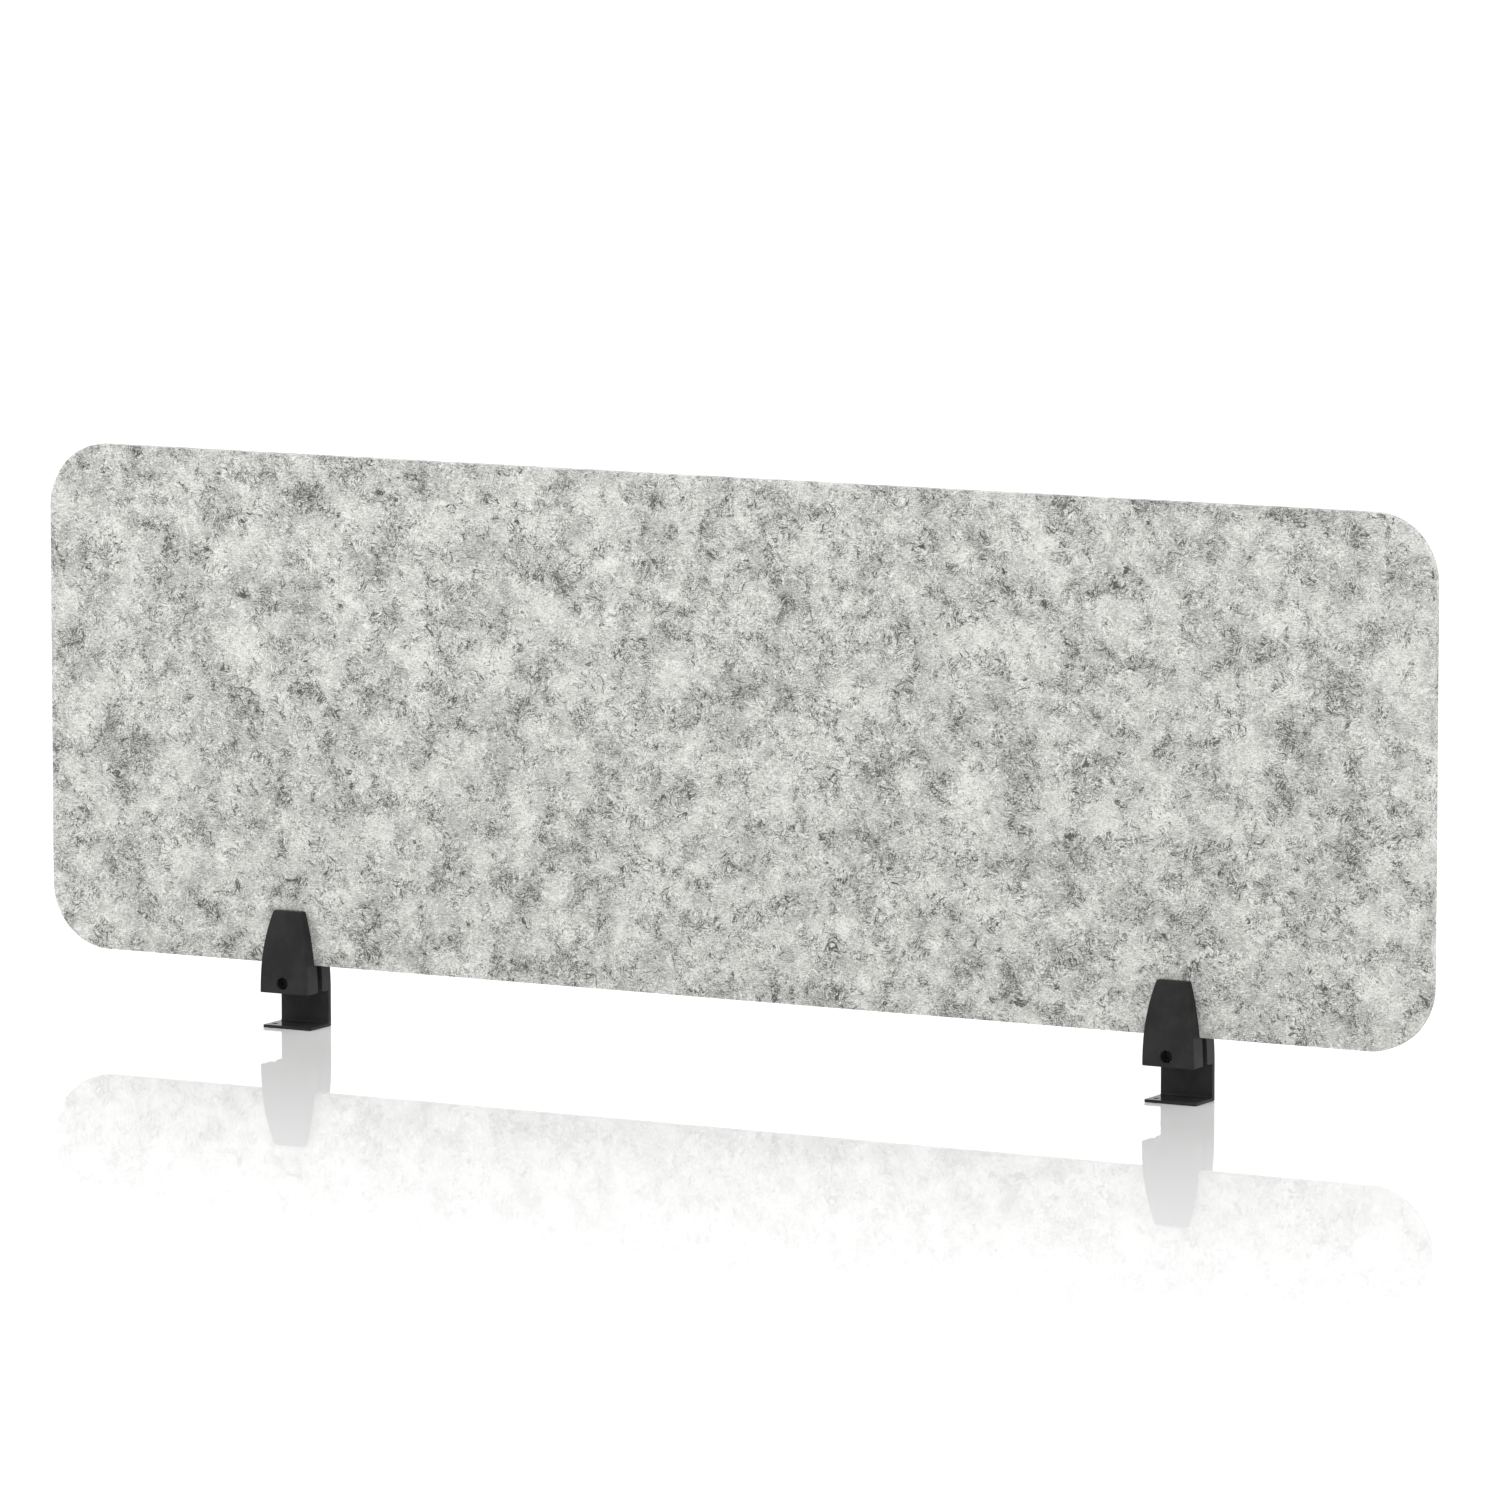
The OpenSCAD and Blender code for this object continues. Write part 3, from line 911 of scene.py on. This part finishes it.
class PANEL_OT_pads(bpy.types.Operator):
    """Build the ribbed rubber pads of both clamps"""

    bl_idname = "desk_panel.pads"
    bl_label = "Rubber pads"

    def execute(self, context):
        look = context.scene.hardware_look
        rubber = rubber_finish()
        for side in SIDES:
            jaw, clamp = f"{side}_jaw", f"{side}_clamp"
            for node, body, face in (("front_grip_pad", jaw, (1, 1)),
                                     ("back_grip_pad", clamp, (1, -1)),
                                     ("jaw_desk_pad", jaw, (2, -1)),
                                     ("bracket_desk_pad", clamp, (2, -1))):
                rubber_pad(side, node, body, face, look, rubber)
        return {"FINISHED"}


class PANEL_OT_studio(bpy.types.Operator):
    """Set up the glossy white floor, the white room, a soft light and the camera"""

    bl_idname = "desk_panel.studio"
    bl_label = "Studio"

    def execute(self, context):
        look = context.scene.studio_look
        scene = context.scene
        scene.view_settings.view_transform = "Standard"
        self.floor(scene, look)
        self.room(scene, look)
        self.camera(scene, look)
        return {"FINISHED"}

    def floor(self, scene, look):
        """White floor whose gloss fades with the distance from the panel"""
        material, tree, where = new_material("studio_floor")
        parts = tree.add("SeparateXYZ", Vector=where)
        half = (CAD_BOX[1][0] - CAD_BOX[0][0]) / 2
        past_end = tree.math("MAXIMUM", tree.math("SUBTRACT", tree.math(
            "ABSOLUTE", parts.outputs[0]), half), 0.0)
        gone = tree.math("SQRT", tree.math("MULTIPLY_ADD", past_end, past_end, tree.math(
            "MULTIPLY", parts.outputs[1], parts.outputs[1])))
        fading_from, far_gloss = 0.2, 0.11
        share = tree.step(gone, fading_from, look.gloss_reach, look.floor_gloss, far_gloss)
        haze = tree.noise(where, 3.0, 2).outputs[0]
        matt = tree.add("BsdfDiffuse", Color=(0.93, 0.93, 0.93, 1))
        gloss = tree.add("BsdfAnisotropic", Color=(1, 1, 1, 1),
                         Roughness=tree.step(haze, 0.2, 0.8, 0.012, 0.022))
        both = tree.add("MixShader", i0=share, i1=matt.outputs[0], i2=gloss.outputs[0])
        close_material(tree, both)
        bm = bmesh.new()
        bmesh.ops.create_grid(bm, x_segments=8, y_segments=8, size=30.0)
        floor = new_piece("studio_floor", bm)
        floor.data.materials.append(material)

    def room(self, scene, look):
        """White room, brighter behind the panel, with one large soft light"""
        world = bpy.data.worlds.new("white_room")
        scene.world = world
        tree = Tree(world)
        way = tree.add("TexCoord").outputs["Generated"]
        tilt = tree.add("VectorMath", {"operation": "DOT_PRODUCT"}, i0=way,
                        i1=(0.10, 0.36, 0.04)).outputs["Value"]
        strength = tree.math("MULTIPLY", tree.math("ADD", tilt, 1.0), look.room_light)
        white = tree.add("Background", Color=(1, 1, 1, 1), Strength=strength)
        tree.add("OutputWorld", Surface=white.outputs[0])
        lamp = bpy.data.lights.new("soft_box", "AREA")
        lamp.shape = "DISK"
        lamp.size = 2.4
        lamp.energy = 30
        box = bpy.data.objects.new("soft_box", lamp)
        box.location = (-1.8, -3.2, 2.6)
        aim = Vector((0, 0, 0.3)) - box.location
        box.rotation_euler = aim.to_track_quat("-Z", "Y").to_euler()
        scene.collection.objects.link(box)

    def camera(self, scene, look):
        low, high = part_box("felt_panel")
        target = (low + high) / 2 + Vector(look.aim)
        back = Vector((math.sin(look.azimuth) * math.cos(look.elevation),
                       -math.cos(look.azimuth) * math.cos(look.elevation),
                       math.sin(look.elevation)))
        data = bpy.data.cameras.new("camera")
        data.lens = look.lens
        data.sensor_width = 36
        data.clip_end = 200
        camera = bpy.data.objects.new("camera", data)
        camera.location = target + back * look.distance
        camera.rotation_euler = (-back).to_track_quat("-Z", "Y").to_euler()
        scene.collection.objects.link(camera)
        scene.camera = camera


class PANEL_PT_desk_panel(bpy.types.Panel):
    """Lists the steps that build the desk privacy panel"""

    bl_idname = "PANEL_PT_desk_panel"
    bl_label = "Desk privacy panel"
    bl_space_type = "VIEW_3D"
    bl_region_type = "UI"
    bl_category = "Desk Panel"

    def draw(self, context):
        for operator in OPERATORS:
            self.layout.operator(operator.bl_idname)
        for name in LOOKS:
            look = getattr(context.scene, name)
            box = self.layout.box()
            for field in look.__annotations__:
                box.prop(look, field)


LOOKS = {
    "felt_look": FeltLook,
    "casting_look": CastingLook,
    "hardware_look": HardwareLook,
    "studio_look": StudioLook,
}
OPERATORS = (
    PANEL_OT_studio,
    PANEL_OT_felt_board,
    PANEL_OT_castings,
    PANEL_OT_screws,
    PANEL_OT_inserts_and_pins,
    PANEL_OT_pads,
)


def register():
    for name, look in LOOKS.items():
        bpy.utils.register_class(look)
        setattr(bpy.types.Scene, name, PointerProperty(type=look))
    for operator in OPERATORS:
        bpy.utils.register_class(operator)
    bpy.utils.register_class(PANEL_PT_desk_panel)


def unregister():
    bpy.utils.unregister_class(PANEL_PT_desk_panel)
    for operator in reversed(OPERATORS):
        bpy.utils.unregister_class(operator)
    for name, look in LOOKS.items():
        delattr(bpy.types.Scene, name)
        bpy.utils.unregister_class(look)


def main():
    register()
    bpy.ops.desk_panel.studio()
    bpy.ops.desk_panel.felt_board()
    bpy.ops.desk_panel.castings()
    bpy.ops.desk_panel.screws()
    bpy.ops.desk_panel.inserts_and_pins()
    bpy.ops.desk_panel.pads()


if __name__ == "__main__":
    main()
